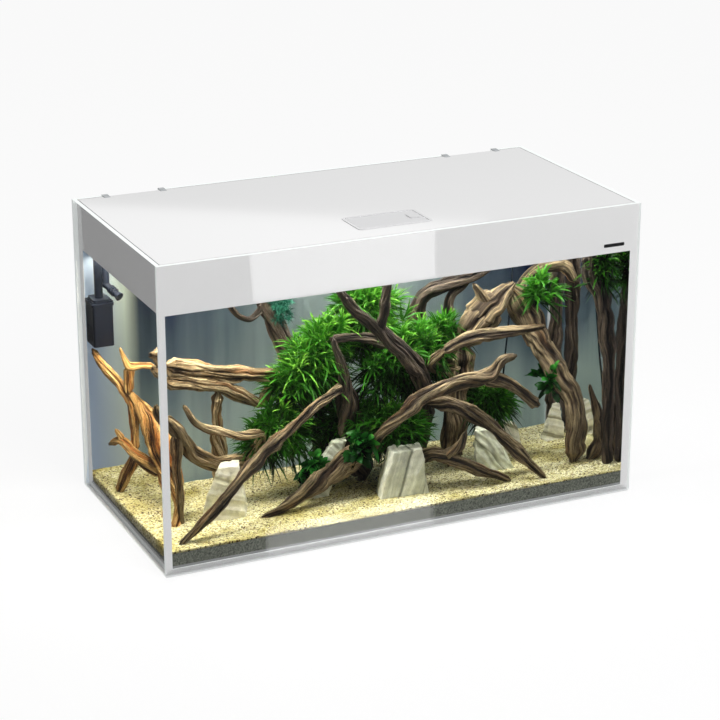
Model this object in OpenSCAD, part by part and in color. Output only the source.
// Glass aquarium with a lacquered frame, a hinged lamp cover and a planted driftwood layout.
// Millimetres, +Z up, origin at the middle of the underside, the viewing pane faces -Y.

/* [Tank] */
// Outside width of the glass
tank_w = 1000; // [800:10:1250]
// Outside depth of the glass, with the background film
tank_d = 490; // [400:10:600]
// Height from the floor to the rim
tank_h = 608; // [500:4:740]
// Thickness of the four walls
glass_t = 8; // [6:1:12]
// Thickness of the bottom pane
base_t = 10; // [8:1:15]
// Thickness of the foam mat under the tank
mat_t = 3; // [2:1:6]
// Thickness of lacquer and film
film_t = 0.4; // [0.2:0.1:0.6]
// Leg of the silicone beads in the corners
bead = 5; // [3:1:8]

/* [Lacquered frame] */
// Height of the white band under the rim
band_h = 97; // [70:1:120]
// Width of the white border beside the front window
front_border = 16; // [10:1:30]
// Height of the white border under the front window
front_sill = 12; // [8:1:20]
// Width of the border at the rear of the side windows
side_border = 32; // [20:1:50]
// Height of the border under the side windows
side_sill = 20; // [14:1:30]
// Width of the plain marker bar on the band
marker_w = 46; // [20:1:80]

/* [Cover] */
// Thickness of the cover sheet
sheet_t = 5; // [4:0.5:7]
// Gap between the cover and the glass
cover_gap = 2; // [1.5:0.5:4]
// Depth of the skirt under the sheet
skirt_h = 23; // [15:1:30]
// Thickness of the skirt
skirt_t = 3; // [2:0.5:5]
// Radius of the hinge pins
pin_r = 1.5; // [1.2:0.1:1.8]
// Radial running clearance of pins and pipes
run_gap = 0.05; // [0.02:0.01:0.1]
// Distance from each side of the tank to the middle of its hose notch
notch_inset = 126; // [110:1:160]
// Width of each hose notch in the rear pane
notch_w = 105; // [60:1:120]
// Depth of each hose notch below the rim
notch_h = 30; // [25:1:50]
// Width of the hinge clips beside the notches
clip_w = 12; // [8:1:16]

/* [Feeding hatch] */
// Length of the hatch frame
hatch_w = 155; // [120:1:200]
// Depth of the hatch frame
hatch_d = 87; // [70:1:110]
// Distance of the hatch centre behind the front glass
hatch_back = 101.5; // [90:0.5:140]
// Width of the hatch frame's lip
lip_w = 6; // [5:0.5:8]
// Height of the lip above the cover
lip_h = 1.2; // [0.8:0.1:2]
// Thickness of the flap
flap_t = 2.4; // [2:0.1:3]
// Gap round the flap
flap_gap = 1; // [0.8:0.1:1.5]
// Travel of the sliding catch
catch_travel = 5; // [3:0.5:6]

/* [Lamps and filter] */
// Radius of a lamp tube
lamp_r = 12; // [8:1:14]
// Distance from each side of the tank to the end of a lamp tube
lamp_inset = 50; // [46:1:120]
// Distance between the two lamp tubes
lamp_pitch = 190; // [120:5:240]
// Width of the filter box
filter_w = 42; // [40:1:60]
// Depth of the filter box
filter_d = 52; // [44:1:70]
// Height of the filter box
filter_h = 84; // [76:1:120]
// Outside radius of the filter pipes
pipe_r = 7; // [6:0.5:8]
// Outside radius of the air tube
air_r = 2.5; // [2:0.5:3]

/* [Ground] */
// Height of the gravel at the front glass
ground_front = 46; // [36:1:60]
// Height of the gravel at the rear glass
ground_rear = 33; // [30:1:60]

/* [Hidden] */
$fn = 48;

half_w = tank_w / 2;
half_d = tank_d / 2;
inner_x = half_w - glass_t - film_t;
inner_y = half_d - glass_t - film_t;
rear_glass_y = half_d - film_t;
floor_z = mat_t + base_t;
window_top = tank_h - band_h;

cover_x = inner_x - cover_gap;
cover_y = inner_y - cover_gap;
sheet_z = tank_h - sheet_t;
skirt_z = sheet_z - skirt_h;
rest_gap = 0.2;
rest_t = 6;
rest_w = 11;

notch_x = half_w - notch_inset;
hinge_y = inner_y - 7.5;
hinge_z = tank_h - 2.5;
eye_r = 3.4;
clip_centres = [for (side = [-1, 1], end = [-1, 1]) side * notch_x + end * (notch_w + clip_w) / 2];
pocket_gap = 0.5;

hatch_y = -half_d + hatch_back;
flap_d = hatch_d - 2 * lip_w - 2 * flap_gap;
flap_z = tank_h + lip_h - 0.4 - flap_t;
barrel_r = 2.2;
flap_pin_r = 1;
flap_x = -hatch_w / 2 + lip_w + barrel_r + 0.4;
flap_pin_z = flap_z + 0.2;
sleeve_t = 4;
sleeve_h = 10;
catch_x = hatch_w / 2 - lip_w - 17.5;
catch_w = 20;
catch_d = 26;

lamp_y = [-lamp_pitch / 2 - 5, lamp_pitch / 2 - 5];
lamp_z = sheet_z - lamp_r - 7;
lamp_l = tank_w - 2 * lamp_inset;
cap_l = 22;
clip_x = [for (k = [-3, -1, 1, 3]) k * half_w * 0.21];

filter_x = -inner_x + 4 + filter_w / 2;
filter_y = inner_y - 9 - filter_d / 2;
filter_z = tank_h - 290;
filter_wall = 2;
lid_h = 12;
pump_r = 16;
pump_h = 28;
pump_z = filter_z + filter_h - pump_h - 2;
shaft_r = 1.2;
pipe_bore = pipe_r - 1.5;
riser_top = tank_h - 46;
nozzle_x = filter_x + 8;
nozzle_y = filter_y - 24;
nozzle_z = riser_top - 116;
joint_len = 16;

// The layout's places below were drawn for this clear space: half width, half depth, height
// from the gravel to the band, and for gravel of this height at the front
drawn_for = [491.6, 236.6, 465];
drawn_ground = 46;
stretch = [inner_x / drawn_for[0], inner_y / drawn_for[1], (window_top - ground_front) / drawn_for[2]];
girth = max(stretch);

// A box between two corners
module slab(low, high) {
    translate(low)
        cube(high - low);
}

// A flat frame in the XZ plane: an outer box with a window through it
module framed_sheet(y0, y1, low, high, win_low, win_high) {
    difference() {
        slab([low[0], y0, low[1]], [high[0], y1, high[1]]);
        slab([win_low[0], y0 - 1, win_low[1]], [win_high[0], y1 + 1, win_high[1]]);
    }
}

// The two hose notches, cut down from the rim
module notch_cuts(y0, y1) {
    for (side = [-1, 1])
        slab([side * notch_x - notch_w / 2, y0, tank_h - notch_h],
             [side * notch_x + notch_w / 2, y1, tank_h + 1]);
}

// A rounded rectangle, extruded upward
module rounded_block(width, depth, height, radius) {
    linear_extrude(height)
        union() {
            square([width - 2 * radius, depth], center = true);
            square([width, depth - 2 * radius], center = true);
            for (sx = [-1, 1], sy = [-1, 1])
                translate([sx * (width / 2 - radius), sy * (depth / 2 - radius)])
                    circle(r = radius);
        }
}

// A place in the layout, moved to suit the tank's real clear space
function placed(p) =
    [p[0] * stretch[0], p[1] * stretch[1], ground_front + (p[2] - drawn_ground) * stretch[2]];

// A root: round knots joined along a route of [x, y, z, radius]
module root(route) {
    for (i = [0 : len(route) - 2])
        hull() {
            knot(route[i]);
            knot(route[i + 1]);
        }
}

module knot(p) {
    translate(placed(p))
        sphere(r = p[3] * girth, $fn = 8);
}

// A plant's outer shape: a hull over round clumps of [x, y, z, radius]
module clump(knots) {
    hull()
        for (p = knots)
            translate(placed(p))
                sphere(r = p[3] * girth, $fn = 12);
}

// A split rock bedded in the gravel: a lower outline and an upper one, turned about the centre
module rock(centre, lower, upper, top, turn) {
    foot = placed([centre[0], centre[1], 32]);
    peak = placed([0, 0, top])[2];
    translate([foot[0], foot[1], 0])
        rotate([0, 0, turn])
            hull() {
                translate([0, 0, foot[2]])
                    linear_extrude(1)
                        scale(girth)
                            polygon(lower);
                translate([0, 0, peak - 1])
                    linear_extrude(1)
                        scale(girth)
                            polygon(upper);
            }
}

// ---- glass box ----

module base_mat() {
    color("#4a4c4e")
        slab([-half_w + 1.5, -half_d + 1.5, 0], [half_w - 1.5, half_d - 1.5, mat_t]);
}

module bottom_pane() {
    color("#b8d0cc", 0.4)
        slab([-inner_x, -inner_y, mat_t], [inner_x, inner_y, floor_z]);
}

module front_pane() {
    color("#c8d8d6", 0.3)
        slab([-half_w, -half_d, mat_t], [half_w, -half_d + glass_t, tank_h]);
}

module rear_pane() {
    color("#c8d8d6", 0.3)
        difference() {
            slab([-half_w, inner_y, mat_t], [half_w, rear_glass_y, tank_h]);
            notch_cuts(inner_y - 1, half_d + 1);
        }
}

module side_pane(side) {
    color("#c8d8d6", 0.3)
        mirror([side < 0 ? 1 : 0, 0, 0])
            slab([inner_x + film_t, -inner_y, mat_t], [half_w, inner_y, tank_h]);
}

module left_pane() {
    side_pane(-1);
}

module right_pane() {
    side_pane(1);
}

module bead_prism(length) {
    linear_extrude(length)
        polygon([[0, 0], [bead, 0], [0, bead]]);
}

module silicone_beads() {
    color("#d8dcda")
        union()
            for (mx = [0, 1], my = [0, 1])
                mirror([mx, 0, 0])
                    mirror([0, my, 0]) {
                        translate([-inner_x, -inner_y, floor_z])
                            bead_prism(window_top - floor_z);
                        translate([-inner_x, -inner_y, floor_z])
                            rotate([90, 0, 90])
                                bead_prism(inner_x);
                        translate([-inner_x, 0, floor_z])
                            rotate([90, 0, 0])
                                bead_prism(inner_y);
                    }
}

// ---- lacquer, films and trims ----

module front_lacquer() {
    color("#eeeeee")
        difference() {
            framed_sheet(-half_d + glass_t, -inner_y, [-half_w, mat_t], [half_w, tank_h],
                         [-half_w + front_border, front_sill], [half_w - front_border, window_top]);
            marker_block(3 * film_t);
        }
}

module side_lacquer() {
    color("#eeeeee")
        for (side = [0, 1])
            mirror([side, 0, 0])
                difference() {
                    slab([inner_x, -inner_y, mat_t], [inner_x + film_t, inner_y, tank_h]);
                    slab([inner_x - 1, -inner_y - 1, side_sill],
                         [inner_x + film_t + 1, half_d - side_border, window_top]);
                }
}

module rear_lacquer() {
    color("#eeeeee")
        difference() {
            slab([-half_w, rear_glass_y, window_top], [half_w, half_d, tank_h]);
            notch_cuts(rear_glass_y - 1, half_d + 1);
        }
}

module background_film() {
    color("#9fb0bc")
        slab([-half_w, rear_glass_y, mat_t], [half_w, half_d, window_top]);
}

// The marker is printed in the lacquer, behind the glass
module marker_block(depth) {
    translate([half_w - 30 - marker_w / 2, -inner_y - film_t / 2 + depth / 2, tank_h - 81])
        rotate([90, 0, 0])
            rounded_block(marker_w, 7, depth, 2);
}

module marker_bar() {
    color("#202224")
        marker_block(film_t);
}

// ---- bracing and rests under the rim ----

module rim_braces() {
    brace_z = tank_h - 46;
    color("#c4d6d3", 0.4)
        union() {
            slab([-inner_x, -inner_y, brace_z], [inner_x, -inner_y + 38, brace_z + 6]);
            slab([-notch_x + notch_w / 2 + 20, inner_y - 38, brace_z],
                 [notch_x - notch_w / 2 - 20, inner_y, brace_z + 6]);
        }
}

module cover_rests() {
    color("#e6e6e6")
        for (side = [0, 1])
            mirror([side, 0, 0])
                slab([inner_x - rest_w, -inner_y + 44, skirt_z - rest_gap - rest_t],
                     [inner_x, inner_y - 90, skirt_z - rest_gap]);
}

// ---- cover and its hinge ----

module hinge_clips() {
    clip_t = 1.6;
    leg = 24;
    color("#f4f4f2")
        for (x = clip_centres)
            difference() {
                union() {
                    slab([x - clip_w / 2, inner_y - clip_t, tank_h - leg],
                         [x + clip_w / 2, inner_y, tank_h + clip_t]);
                    slab([x - clip_w / 2, inner_y, tank_h],
                         [x + clip_w / 2, half_d, tank_h + clip_t]);
                    slab([x - clip_w / 2, hinge_y, hinge_z + eye_r - 2.2],
                         [x + clip_w / 2, inner_y, hinge_z + eye_r]);
                    translate([x - clip_w / 2, hinge_y, hinge_z])
                        rotate([0, 90, 0])
                            cylinder(r = eye_r, h = clip_w);
                }
                translate([x - clip_w, hinge_y, hinge_z])
                    rotate([0, 90, 0])
                        cylinder(r = pin_r + run_gap, h = 2 * clip_w);
            }
}

module hinge_pins() {
    color("#b9bcc0")
        for (x = clip_centres)
            translate([x - clip_w / 2 - 8, hinge_y, hinge_z])
                rotate([0, 90, 0])
                    cylinder(r = pin_r, h = clip_w + 16);
}

module cover_panel() {
    open_w = hatch_w - 2 * lip_w + 2 * sleeve_t;
    open_d = hatch_d - 2 * lip_w + 2 * sleeve_t;
    color("#f2f2f2")
        difference() {
            union() {
                slab([-cover_x, -cover_y, sheet_z], [cover_x, cover_y, tank_h]);
                difference() {
                    slab([-cover_x + 2, -cover_y + 2, skirt_z], [cover_x - 2, cover_y - 14, sheet_z]);
                    slab([-cover_x + 2 + skirt_t, -cover_y + 2 + skirt_t, skirt_z - 1],
                         [cover_x - 2 - skirt_t, cover_y - 14 - skirt_t, sheet_z]);
                    for (side = [-1, 1])
                        slab([side * notch_x - notch_w / 2 - 30, cover_y - 30, skirt_z - 1],
                             [side * notch_x + notch_w / 2 + 30, cover_y, sheet_z]);
                }
                for (x = clip_centres)
                    slab([x - clip_w / 2 - 10, hinge_y - 4, hinge_z - 4.5],
                         [x + clip_w / 2 + 10, cover_y, sheet_z]);
            }
            for (x = clip_centres)
                slab([x - clip_w / 2 - pocket_gap, hinge_y - eye_r - 1, skirt_z],
                     [x + clip_w / 2 + pocket_gap, cover_y + 1, tank_h + 1]);
            for (x = clip_centres)
                translate([x - clip_w / 2 - 8, hinge_y, hinge_z])
                    rotate([0, 90, 0])
                        cylinder(r = pin_r, h = clip_w + 16);
            slab([-open_w / 2, hatch_y - open_d / 2, sheet_z - 1],
                 [open_w / 2, hatch_y + open_d / 2, tank_h + 1]);
        }
}

// ---- feeding hatch ----

module hatch_frame() {
    in_w = hatch_w - 2 * lip_w;
    in_d = hatch_d - 2 * lip_w;
    color("#efefef")
        translate([0, hatch_y, 0])
            difference() {
                union() {
                    translate([0, 0, tank_h])
                        rounded_block(hatch_w, hatch_d, lip_h, 9);
                    translate([0, 0, tank_h - sleeve_h])
                        slab([-in_w / 2 - sleeve_t, -in_d / 2 - sleeve_t, 0],
                             [in_w / 2 + sleeve_t, in_d / 2 + sleeve_t, sleeve_h]);
                }
                difference() {
                    slab([-in_w / 2, -in_d / 2, tank_h - sleeve_h - 1],
                         [in_w / 2, in_d / 2, tank_h + lip_h + 1]);
                    for (side = [-1, 1])
                        slab([in_w / 2 - 6, side * (in_d / 2 - 6) - 6, flap_z - 2.2],
                             [in_w / 2 + 1, side * (in_d / 2 - 6) + 6, flap_z - 0.2]);
                }
                translate([flap_x, in_d / 2 + 3, flap_pin_z])
                    rotate([90, 0, 0])
                        cylinder(r = flap_pin_r, h = in_d + 6);
            }
}

module flap_pin() {
    color("#b9bcc0")
        translate([flap_x, hatch_y + flap_d / 2 + flap_gap + 3, flap_pin_z])
            rotate([90, 0, 0])
                cylinder(r = flap_pin_r, h = flap_d + 2 * flap_gap + 6);
}

module feed_flap() {
    flap_end = hatch_w / 2 - lip_w - flap_gap;
    color("#e4e4e4")
        translate([0, hatch_y, 0])
            difference() {
                union() {
                    slab([flap_x, -flap_d / 2, flap_z], [flap_end, flap_d / 2, flap_z + flap_t]);
                    translate([flap_x, flap_d / 2, flap_pin_z])
                        rotate([90, 0, 0])
                            cylinder(r = barrel_r, h = flap_d);
                }
                translate([flap_x, flap_d, flap_pin_z])
                    rotate([90, 0, 0])
                        cylinder(r = flap_pin_r + run_gap, h = 2 * flap_d);
                slab([catch_x - 4 - catch_travel - 1, -4, flap_z - 1],
                     [catch_x + 4 + 0.3, 4, flap_z + flap_t + 1]);
            }
}

// Thumb plate, stem and nose; the nose bears on the inside of the frame
module flap_catch() {
    nose_x = hatch_w / 2 - lip_w - 0.4;
    color("#dcdcdc")
        translate([catch_x, hatch_y, 0])
            union() {
                translate([0, 0, flap_z + flap_t + 0.1])
                    rounded_block(catch_w, catch_d, 1.4, 3);
                slab([-4, -3.7, flap_z - 0.3], [4, 3.7, flap_z + flap_t + 0.2]);
                slab([-8, -8, flap_z - 2.3], [nose_x - catch_x, 8, flap_z - 0.3]);
            }
}

// ---- lamps ----

module lamp_tube(y) {
    translate([-lamp_l / 2, y, lamp_z])
        rotate([0, 90, 0])
            cylinder(r = lamp_r, h = lamp_l);
}

module front_lamp() {
    color("#fbfdff")
        lamp_tube(lamp_y[0]);
}

module rear_lamp() {
    color("#fbfdff")
        lamp_tube(lamp_y[1]);
}

module lamp_end_caps() {
    color("#d0d3d6")
        for (y = lamp_y, side = [-1, 1])
            translate([side * (lamp_l / 2 + cap_l / 2) - cap_l / 2, y, lamp_z])
                rotate([0, 90, 0])
                    cylinder(r = lamp_r + 1.5, h = cap_l);
}

module lamp_clips() {
    clip_l = 14;
    color("#e8eaec")
        for (y = lamp_y, x = clip_x)
            difference() {
                union() {
                    translate([x - clip_l / 2, y, lamp_z])
                        rotate([0, 90, 0])
                            cylinder(r = lamp_r + 2.5, h = clip_l);
                    slab([x - clip_l / 2, y - 6, lamp_z], [x + clip_l / 2, y + 6, sheet_z]);
                }
                translate([x - clip_l, y, lamp_z])
                    rotate([0, 90, 0])
                        cylinder(r = lamp_r, h = 2 * clip_l);
                slab([x - clip_l, y - 8, lamp_z - 2 * lamp_r], [x + clip_l, y + 8, lamp_z]);
            }
}

// ---- filter, left rear corner ----

module filter_box() {
    color("#22252b")
        translate([filter_x, filter_y, filter_z])
            difference() {
                rounded_block(filter_w, filter_d, filter_h, 5);
                translate([0, 0, filter_wall])
                    rounded_block(filter_w - 2 * filter_wall, filter_d - 2 * filter_wall, filter_h, 3);
                for (i = [0 : 4])
                    slab([-filter_w, -filter_d / 2 + 10 + 7 * i, 10],
                         [filter_w, -filter_d / 2 + 13 + 7 * i, 40]);
            }
}

module filter_lid() {
    color("#1d2026")
        translate([filter_x, filter_y, filter_z + filter_h])
            difference() {
                union() {
                    rounded_block(filter_w + 4, filter_d + 4, 5, 6);
                    rounded_block(filter_w - 8, filter_d - 10, lid_h, 5);
                    for (i = [-2 : 2])
                        slab([-filter_w / 2 - 2, 9 * i - 1.5, 0], [filter_w / 2 + 2, 9 * i + 1.5, 8]);
                }
                translate([0, 0, -1])
                    cylinder(r = pipe_bore, h = lid_h + 2);
            }
}

module filter_sponge() {
    color("#30363c")
        translate([filter_x, filter_y, filter_z + filter_wall])
            rounded_block(filter_w - 2 * filter_wall - 2, filter_d - 2 * filter_wall - 2,
                          pump_z - filter_z - filter_wall - 1, 3);
}

module pump_housing() {
    color("#2b2f36")
        translate([filter_x, filter_y, pump_z])
            union() {
                difference() {
                    cylinder(r = pump_r, h = pump_h + 2);
                    translate([0, 0, 4])
                        cylinder(r = pump_r - 3, h = pump_h - 7);
                    translate([0, 0, -1])
                        cylinder(r = pump_r - 6, h = pump_h - 6);
                    cylinder(r = pipe_bore, h = pump_h + 3);
                }
                slab([-pump_r + 4, -1.5, 0], [pump_r - 4, 1.5, 3]);
                cylinder(r = shaft_r, h = pump_h - 5);
            }
}

module impeller() {
    blade_h = 12;
    color("#8a8f96")
        translate([filter_x, filter_y, pump_z + 6])
            difference() {
                union() {
                    cylinder(r = 4, h = 15);
                    for (turn = [0 : 60 : 300])
                        rotate([0, 0, turn])
                            slab([2, -0.6, 0], [pump_r - 5, 0.6, blade_h]);
                }
                translate([0, 0, -1])
                    cylinder(r = shaft_r + run_gap, h = 20);
            }
}

module riser_pipe() {
    riser_z = filter_z + filter_h + lid_h;
    span = norm([nozzle_x - filter_x, nozzle_y - filter_y]);
    heading = atan2(nozzle_y - filter_y, nozzle_x - filter_x);
    color("#20242c")
        difference() {
            union() {
                translate([filter_x, filter_y, riser_z])
                    cylinder(r = pipe_r + 1.5, h = riser_top - riser_z);
                translate([nozzle_x, nozzle_y, riser_top - joint_len - 12])
                    cylinder(r = pipe_r + 2, h = joint_len + 12);
                translate([filter_x, filter_y, riser_top])
                    rotate([0, 0, heading])
                        translate([span / 2, 0, 0])
                            rotate([90, 0, 0])
                                rotate_extrude(angle = 180)
                                    translate([span / 2, 0])
                                        circle(r = pipe_r + 1);
            }
            translate([filter_x, filter_y, riser_z - 1])
                cylinder(r = pipe_bore, h = riser_top - riser_z + 1);
            translate([nozzle_x, nozzle_y, riser_top - joint_len - 13])
                cylinder(r = pipe_r + run_gap, h = joint_len + 1);
        }
}

// The nozzle turns on its spigot in the socket of the riser
module outlet_nozzle() {
    stub_top = riser_top - 14;
    color("#20242c")
        translate([nozzle_x, nozzle_y, 0])
            union() {
                translate([0, 0, nozzle_z])
                    cylinder(r = pipe_r, h = stub_top - nozzle_z);
                translate([0, 0, nozzle_z])
                    sphere(r = pipe_r + 1);
                translate([0, 0, nozzle_z])
                    rotate([115, 0, 25])
                        union() {
                            cylinder(r = pipe_r, h = 34);
                            translate([0, 0, 34])
                                cylinder(r1 = pipe_r, r2 = pipe_r + 2, h = 8);
                            for (i = [0 : 2])
                                translate([0, 0, 14 + 6 * i])
                                    cylinder(r = pipe_r + 2, h = 2);
                        }
            }
}

module filter_bracket() {
    color("#1d2026")
        slab([filter_x - filter_w / 2 + 4, filter_y + filter_d / 2, filter_z + 8],
             [filter_x + filter_w / 2 - 4, filter_y + filter_d / 2 + 3, filter_z + filter_h - 6]);
}

module suction_cups() {
    cup_y = filter_y + filter_d / 2 + 3;
    color("#3a3f45")
        for (dz = [24, filter_h - 22])
            translate([filter_x, cup_y, filter_z + dz])
                rotate([-90, 0, 0])
                    union() {
                        cylinder(r = 3, h = inner_y - cup_y);
                        translate([0, 0, inner_y - cup_y - 3])
                            cylinder(r = 9, h = 3);
                    }
}

// Stiff air line down to the gravel; past a stop, its level end takes a push-on air hose
module air_tube() {
    spigot_l = 20;
    stop_t = 1.5;
    top_z = tank_h - notch_h / 2 - 3;
    elbow_y = half_d - spigot_l - stop_t - air_r;
    drop = top_z - ground_rear;
    color("#2c3138")
        union() {
            translate([notch_x + 26, elbow_y, top_z])
                rotate([-90, 0, 0])
                    cylinder(r = air_r, h = half_d - elbow_y);
            translate([notch_x + 26, elbow_y + air_r, top_z])
                rotate([-90, 0, 0])
                    cylinder(r = air_r + 1.5, h = stop_t);
            for (i = [0 : 3])
                hull() {
                    air_knot(i / 4, elbow_y, top_z, drop);
                    air_knot((i + 1) / 4, elbow_y, top_z, drop);
                }
        }
}

// A point of the air line, at a share of the way down; it bows inward as it falls
module air_knot(share, elbow_y, top_z, drop) {
    translate([notch_x + 26 - 44 * share * share, elbow_y - 10 * share, top_z - share * (drop + 4)])
        sphere(r = air_r, $fn = 8);
}

// ---- ground ----

// A layer with a side outline of [y, z] points, clear of the silicone beads
module ground_layer(outline) {
    difference() {
        translate([-inner_x, 0, 0])
            rotate([90, 0, 90])
                linear_extrude(2 * inner_x)
                    polygon(outline);
        silicone_beads();
    }
}

module soil_layer() {
    color("#5d6158")
        ground_layer([[-inner_y, floor_z], [inner_y, floor_z], [inner_y, ground_rear - 12],
                      [-inner_y + 35, ground_front - 20], [-inner_y, ground_front - 3]]);
}

module gravel_bed() {
    color("#d8cba4")
        ground_layer([[-inner_y, ground_front - 3], [-inner_y + 35, ground_front - 20],
                      [inner_y, ground_rear - 12], [inner_y, ground_rear],
                      [-inner_y + 90, ground_front], [-inner_y, ground_front]]);
}

// ---- stones ----

module stone_left() {
    color("#c9c6b0")
        rock([-335, -55], [[-58, -34], [44, -40], [60, 22], [-30, 40]],
             [[-12, -22], [34, -26], [38, 8], [2, 22]], 152, -6);
}

module stone_leaning() {
    color("#bdc2b0")
        rock([-128, -22], [[-56, -26], [16, -30], [30, 24], [-40, 26]],
             [[32, -16], [66, -18], [70, 14], [40, 16]], 152, 0);
}

module stone_striped() {
    color("#b9beb0")
        rock([26, -118], [[-58, -34], [50, -46], [66, 26], [-46, 40]],
             [[-26, -24], [38, -32], [46, 20], [-20, 28]], 142, 0);
}

module stone_right() {
    color("#b7bcae")
        rock([252, -58], [[-46, -22], [44, -40], [58, 22], [-30, 34]],
             [[-44, -8], [-4, -18], [6, 16], [-34, 24]], 136, 0);
}

module stones_rear() {
    color("#c0c2b2")
        union() {
            rock([330, 62], [[-34, -24], [30, -26], [34, 20], [-28, 26]],
                 [[-22, -14], [16, -14], [18, 12], [-16, 16]], 104, 10);
            rock([452, 98], [[-26, -20], [24, -22], [28, 18], [-22, 22]],
                 [[-6, -10], [14, -12], [16, 8], [0, 12]], 118, 0);
        }
}

// ---- driftwood ----

module wood_left_high() {
    color("#8a6f4c")
        union() {
            root([[-428, 0, 352, 12], [-373, 20, 333, 13], [-315, 30, 314, 13], [-255, 40, 303, 12],
                  [-188, 52, 281, 10], [-206, 54, 250, 9], [-218, 50, 228, 9]]);
            root([[-426, 0, 322, 10], [-353, 20, 298, 12], [-284, 35, 271, 13], [-218, 50, 228, 9]]);
            root([[-313, 35, 274, 12], [-316, 45, 214, 11], [-306, 60, 148, 13], [-300, 70, 38, 12]]);
        }
}

module wood_left_low() {
    color("#8d7450")
        union() {
            root([[-444, -60, 268, 9], [-419, -50, 230, 13], [-381, -30, 172, 14], [-321, -8, 136, 13],
                  [-262, 20, 128, 10]]);
            root([[-424, -52, 226, 8], [-424, -60, 156, 7], [-421, -60, 99, 6], [-419, -62, 40, 5]]);
            root([[-413, -80, 289, 4], [-387, -70, 248, 6], [-358, -60, 226, 7], [-290, -40, 199, 7],
                  [-236, -10, 186, 6], [-244, 8, 154, 7], [-262, 20, 128, 8]]);
        }
}

module wood_long() {
    color("#7c6446")
        root([[-458, -200, 46, 5], [-378, -180, 103, 10], [-274, -140, 183, 11], [-205, -116, 220, 9],
              [-139, -90, 252, 8], [-76, -34, 264, 8]]);
}

module wood_low() {
    color("#6f5a41")
        root([[-272, -130, 50, 4], [-220, -118, 60, 9], [-160, -96, 84, 16], [-90, -70, 104, 20],
              [-12, -30, 132, 18], [40, -4, 156, 14], [98, -16, 180, 14]]);
}

module wood_back() {
    color("#4d3f31")
        union() {
            root([[-200, 158, 500, 17], [-177, 150, 418, 16], [-160, 140, 366, 15], [-144, 130, 322, 15],
                  [-112, 116, 250, 16], [-80, 100, 130, 18], [-72, 96, 42, 16]]);
            root([[-262, 118, 425, 4], [-240, 120, 398, 5], [-214, 130, 389, 5], [-182, 146, 410, 6]]);
            root([[112, 96, 46, 18], [124, 112, 160, 18], [140, 130, 260, 16], [136, 122, 330, 14],
                  [142, 118, 372, 13], [168, 108, 400, 12], [252, 80, 430, 11], [330, 64, 470, 9]]);
            root([[132, 120, 200, 14], [206, 112, 270, 10], [212, 110, 372, 9], [244, 100, 410, 7],
                  [262, 96, 450, 5]]);
        }
}

module wood_forked() {
    color("#574434")
        union() {
            root([[-94, -40, 368, 5], [-74, -32, 312, 9], [-62, -20, 262, 13], [-48, -2, 190, 18],
                  [-20, 20, 100, 22], [-10, 26, 46, 20]]);
            root([[-108, -124, 488, 6], [-76, -112, 446, 8], [-15, -100, 386, 11], [37, -80, 334, 14],
                  [88, -58, 270, 15], [110, -20, 190, 16], [104, 10, 110, 20], [100, 20, 46, 20]]);
            root([[-4, -122, 490, 7], [-8, -112, 432, 9], [-15, -100, 386, 10]]);
            root([[-92, -24, 364, 7], [-30, -22, 357, 8], [30, -8, 326, 9], [80, 6, 250, 11],
                  [106, 0, 196, 12]]);
        }
}

module wood_trunk() {
    color("#5f4a36")
        union() {
            root([[320, 30, 402, 18], [362, 22, 336, 20], [378, -18, 276, 21], [396, -60, 224, 21],
                  [424, -92, 170, 20], [424, -112, 120, 19], [416, -124, 48, 21]]);
            root([[210, 14, 300, 22], [258, 12, 362, 24], [322, 26, 408, 13]]);
            root([[260, 8, 382, 10], [226, 0, 428, 5]]);
            root([[338, 40, 374, 12], [366, 60, 410, 9], [405, 52, 432, 10], [450, 42, 430, 11],
                  [472, 34, 396, 9]]);
            root([[140, -58, 312, 7], [197, -60, 333, 9], [268, -52, 331, 9], [366, -60, 333, 5]]);
            root([[140, -58, 312, 7], [118, -40, 286, 9], [150, -6, 262, 11], [200, 14, 256, 14]]);
            root([[210, 14, 300, 22], [196, 20, 210, 22], [190, 24, 110, 22], [188, 26, 46, 20]]);
        }
}

module wood_front_arch() {
    color("#75603f")
        union() {
            root([[-16, 0, 110, 14], [-14, -60, 144, 12], [-8, -104, 176, 9], [26, -120, 206, 12],
                  [78, -122, 244, 14], [150, -122, 258, 14], [212, -120, 262, 13], [246, -120, 288, 9],
                  [280, -118, 296, 5]]);
            root([[206, -120, 260, 12], [267, -122, 237, 9], [328, -128, 186, 8]]);
            root([[104, -18, 206, 12], [118, -70, 214, 10], [172, -98, 194, 12], [220, -130, 160, 12],
                  [258, -162, 118, 11], [322, -200, 48, 5]]);
        }
}

module wood_small() {
    color("#7a6343")
        union() {
            root([[102, -4, 84, 14], [92, -90, 104, 12], [100, -146, 122, 10], [137, -158, 104, 11],
                  [185, -170, 80, 9], [248, -180, 50, 5]]);
            root([[148, -182, 170, 4], [136, -170, 136, 8], [112, -152, 118, 9]]);
            root([[452, -124, 44, 15], [478, -122, 78, 13], [474, -122, 130, 11], [450, -122, 208, 3]]);
        }
}

module wood_right() {
    color("#54463a")
        union() {
            root([[424, -146, 498, 12], [440, -148, 440, 15], [460, -150, 392, 13], [474, -158, 300, 12],
                  [476, -164, 190, 10], [478, -176, 40, 10]]);
            root([[474, 150, 508, 14], [473, 150, 300, 12], [472, 150, 38, 12]]);
        }
}

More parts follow.
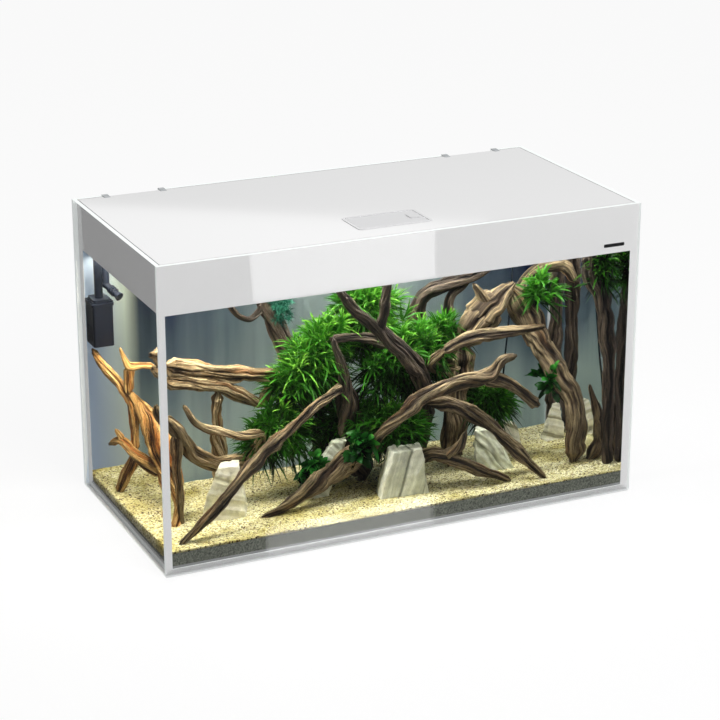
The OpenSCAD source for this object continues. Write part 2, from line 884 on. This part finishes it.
module side_roots() {
    color("#9a7440")
        union() {
            side_root([[-480, 212, 302, 5], [-474, 184, 284, 7], [-460, 148, 262, 8], [-444, 116, 238, 9],
                       [-418, 84, 204, 9], [-396, 62, 182, 8]]);
            side_root([[-456, 112, 334, 2.5], [-448, 108, 308, 5], [-440, 106, 296, 7], [-416, 100, 296, 5],
                       [-396, 92, 294, 6]]);
            side_root([[-440, 106, 296, 7], [-440, 108, 262, 9], [-440, 110, 236, 9]]);
            side_root([[-438, 108, 232, 8], [-438, 92, 166, 7], [-442, 78, 128, 7]]);
            side_root([[-430, 96, 222, 9], [-420, 50, 182, 13], [-414, 26, 142, 13], [-408, 16, 100, 10],
                       [-414, -20, 70, 9], [-438, -78, 38, 8]]);
            side_root([[-480, 122, 133, 7], [-464, 102, 144, 8], [-446, 62, 122, 10], [-426, 40, 108, 10],
                       [-408, 20, 96, 9]]);
            side_root([[-474, 104, 168, 3.5], [-462, 100, 146, 6]]);
            side_root([[-448, 66, 120, 8], [-462, 88, 72, 8], [-474, 104, 34, 6]]);
        }
}

// A root under the filter: its heights follow the space between the gravel and the filter box
module side_root(knots) {
    lowered = (filter_z - ground_front) / 272 / stretch[2];
    root([for (p = knots) [p[0], p[1], drawn_ground + (p[2] - drawn_ground) * lowered, p[3]]]);
}

// ---- plants ----

module fern_centre() {
    color("#3f8a2f")
        union() {
            clump([[-190, 20, 236, 30], [-96, 60, 300, 40], [-150, 70, 230, 40], [-60, 60, 380, 40]]);
            clump([[-30, 60, 420, 34], [60, 70, 372, 40], [-10, 40, 300, 50], [20, 60, 420, 24]]);
            clump([[150, 34, 310, 36], [190, 40, 350, 30], [150, 30, 240, 40], [30, 40, 240, 40]]);
        }
}

module fern_low() {
    color("#36792b")
        union() {
            clump([[-60, 10, 190, 40], [20, -20, 200, 44], [90, -50, 150, 40], [60, -60, 104, 26]]);
            clump([[-250, 30, 150, 26], [-220, 60, 190, 24], [-180, 30, 130, 30]]);
            clump([[240, 20, 190, 26], [290, 0, 170, 24], [260, 20, 150, 20]]);
        }
}

module fern_tufts() {
    color("#55a83c")
        union() {
            clump([[362, 0, 370, 24], [400, -10, 390, 22], [376, -6, 420, 14]]);
            clump([[468, -140, 456, 16], [450, -160, 430, 14], [466, -150, 484, 12]]);
        }
}

module leaf_plants() {
    color("#2f7a34")
        union() {
            clump([[370, -60, 230, 22], [400, -72, 214, 20], [380, -50, 196, 18]]);
            clump([[-150, -60, 104, 20], [-140, -50, 140, 18], [-150, -40, 70, 16]]);
            clump([[-66, -84, 148, 18], [-30, -80, 160, 18], [-50, -74, 124, 15]]);
        }
}

module moss_tuft() {
    color("#2f6d4a")
        clump([[-166, 128, 410, 22], [-150, 120, 370, 20], [-146, 118, 436, 14]]);
}

base_mat();
bottom_pane();
front_pane();
rear_pane();
left_pane();
right_pane();
silicone_beads();
front_lacquer();
side_lacquer();
rear_lacquer();
background_film();
rim_braces();
cover_rests();
marker_bar();
hinge_clips();
hinge_pins();
cover_panel();
hatch_frame();
feed_flap();
flap_pin();
flap_catch();
front_lamp();
rear_lamp();
lamp_end_caps();
lamp_clips();
filter_box();
filter_lid();
filter_sponge();
pump_housing();
impeller();
riser_pipe();
outlet_nozzle();
filter_bracket();
suction_cups();
air_tube();
soil_layer();
gravel_bed();
stone_left();
stone_leaning();
stone_striped();
stone_right();
stones_rear();
wood_left_high();
wood_left_low();
wood_long();
wood_low();
wood_back();
wood_forked();
wood_trunk();
wood_front_arch();
wood_small();
wood_right();
side_roots();
fern_centre();
fern_low();
fern_tufts();
leaf_plants();
moss_tuft();
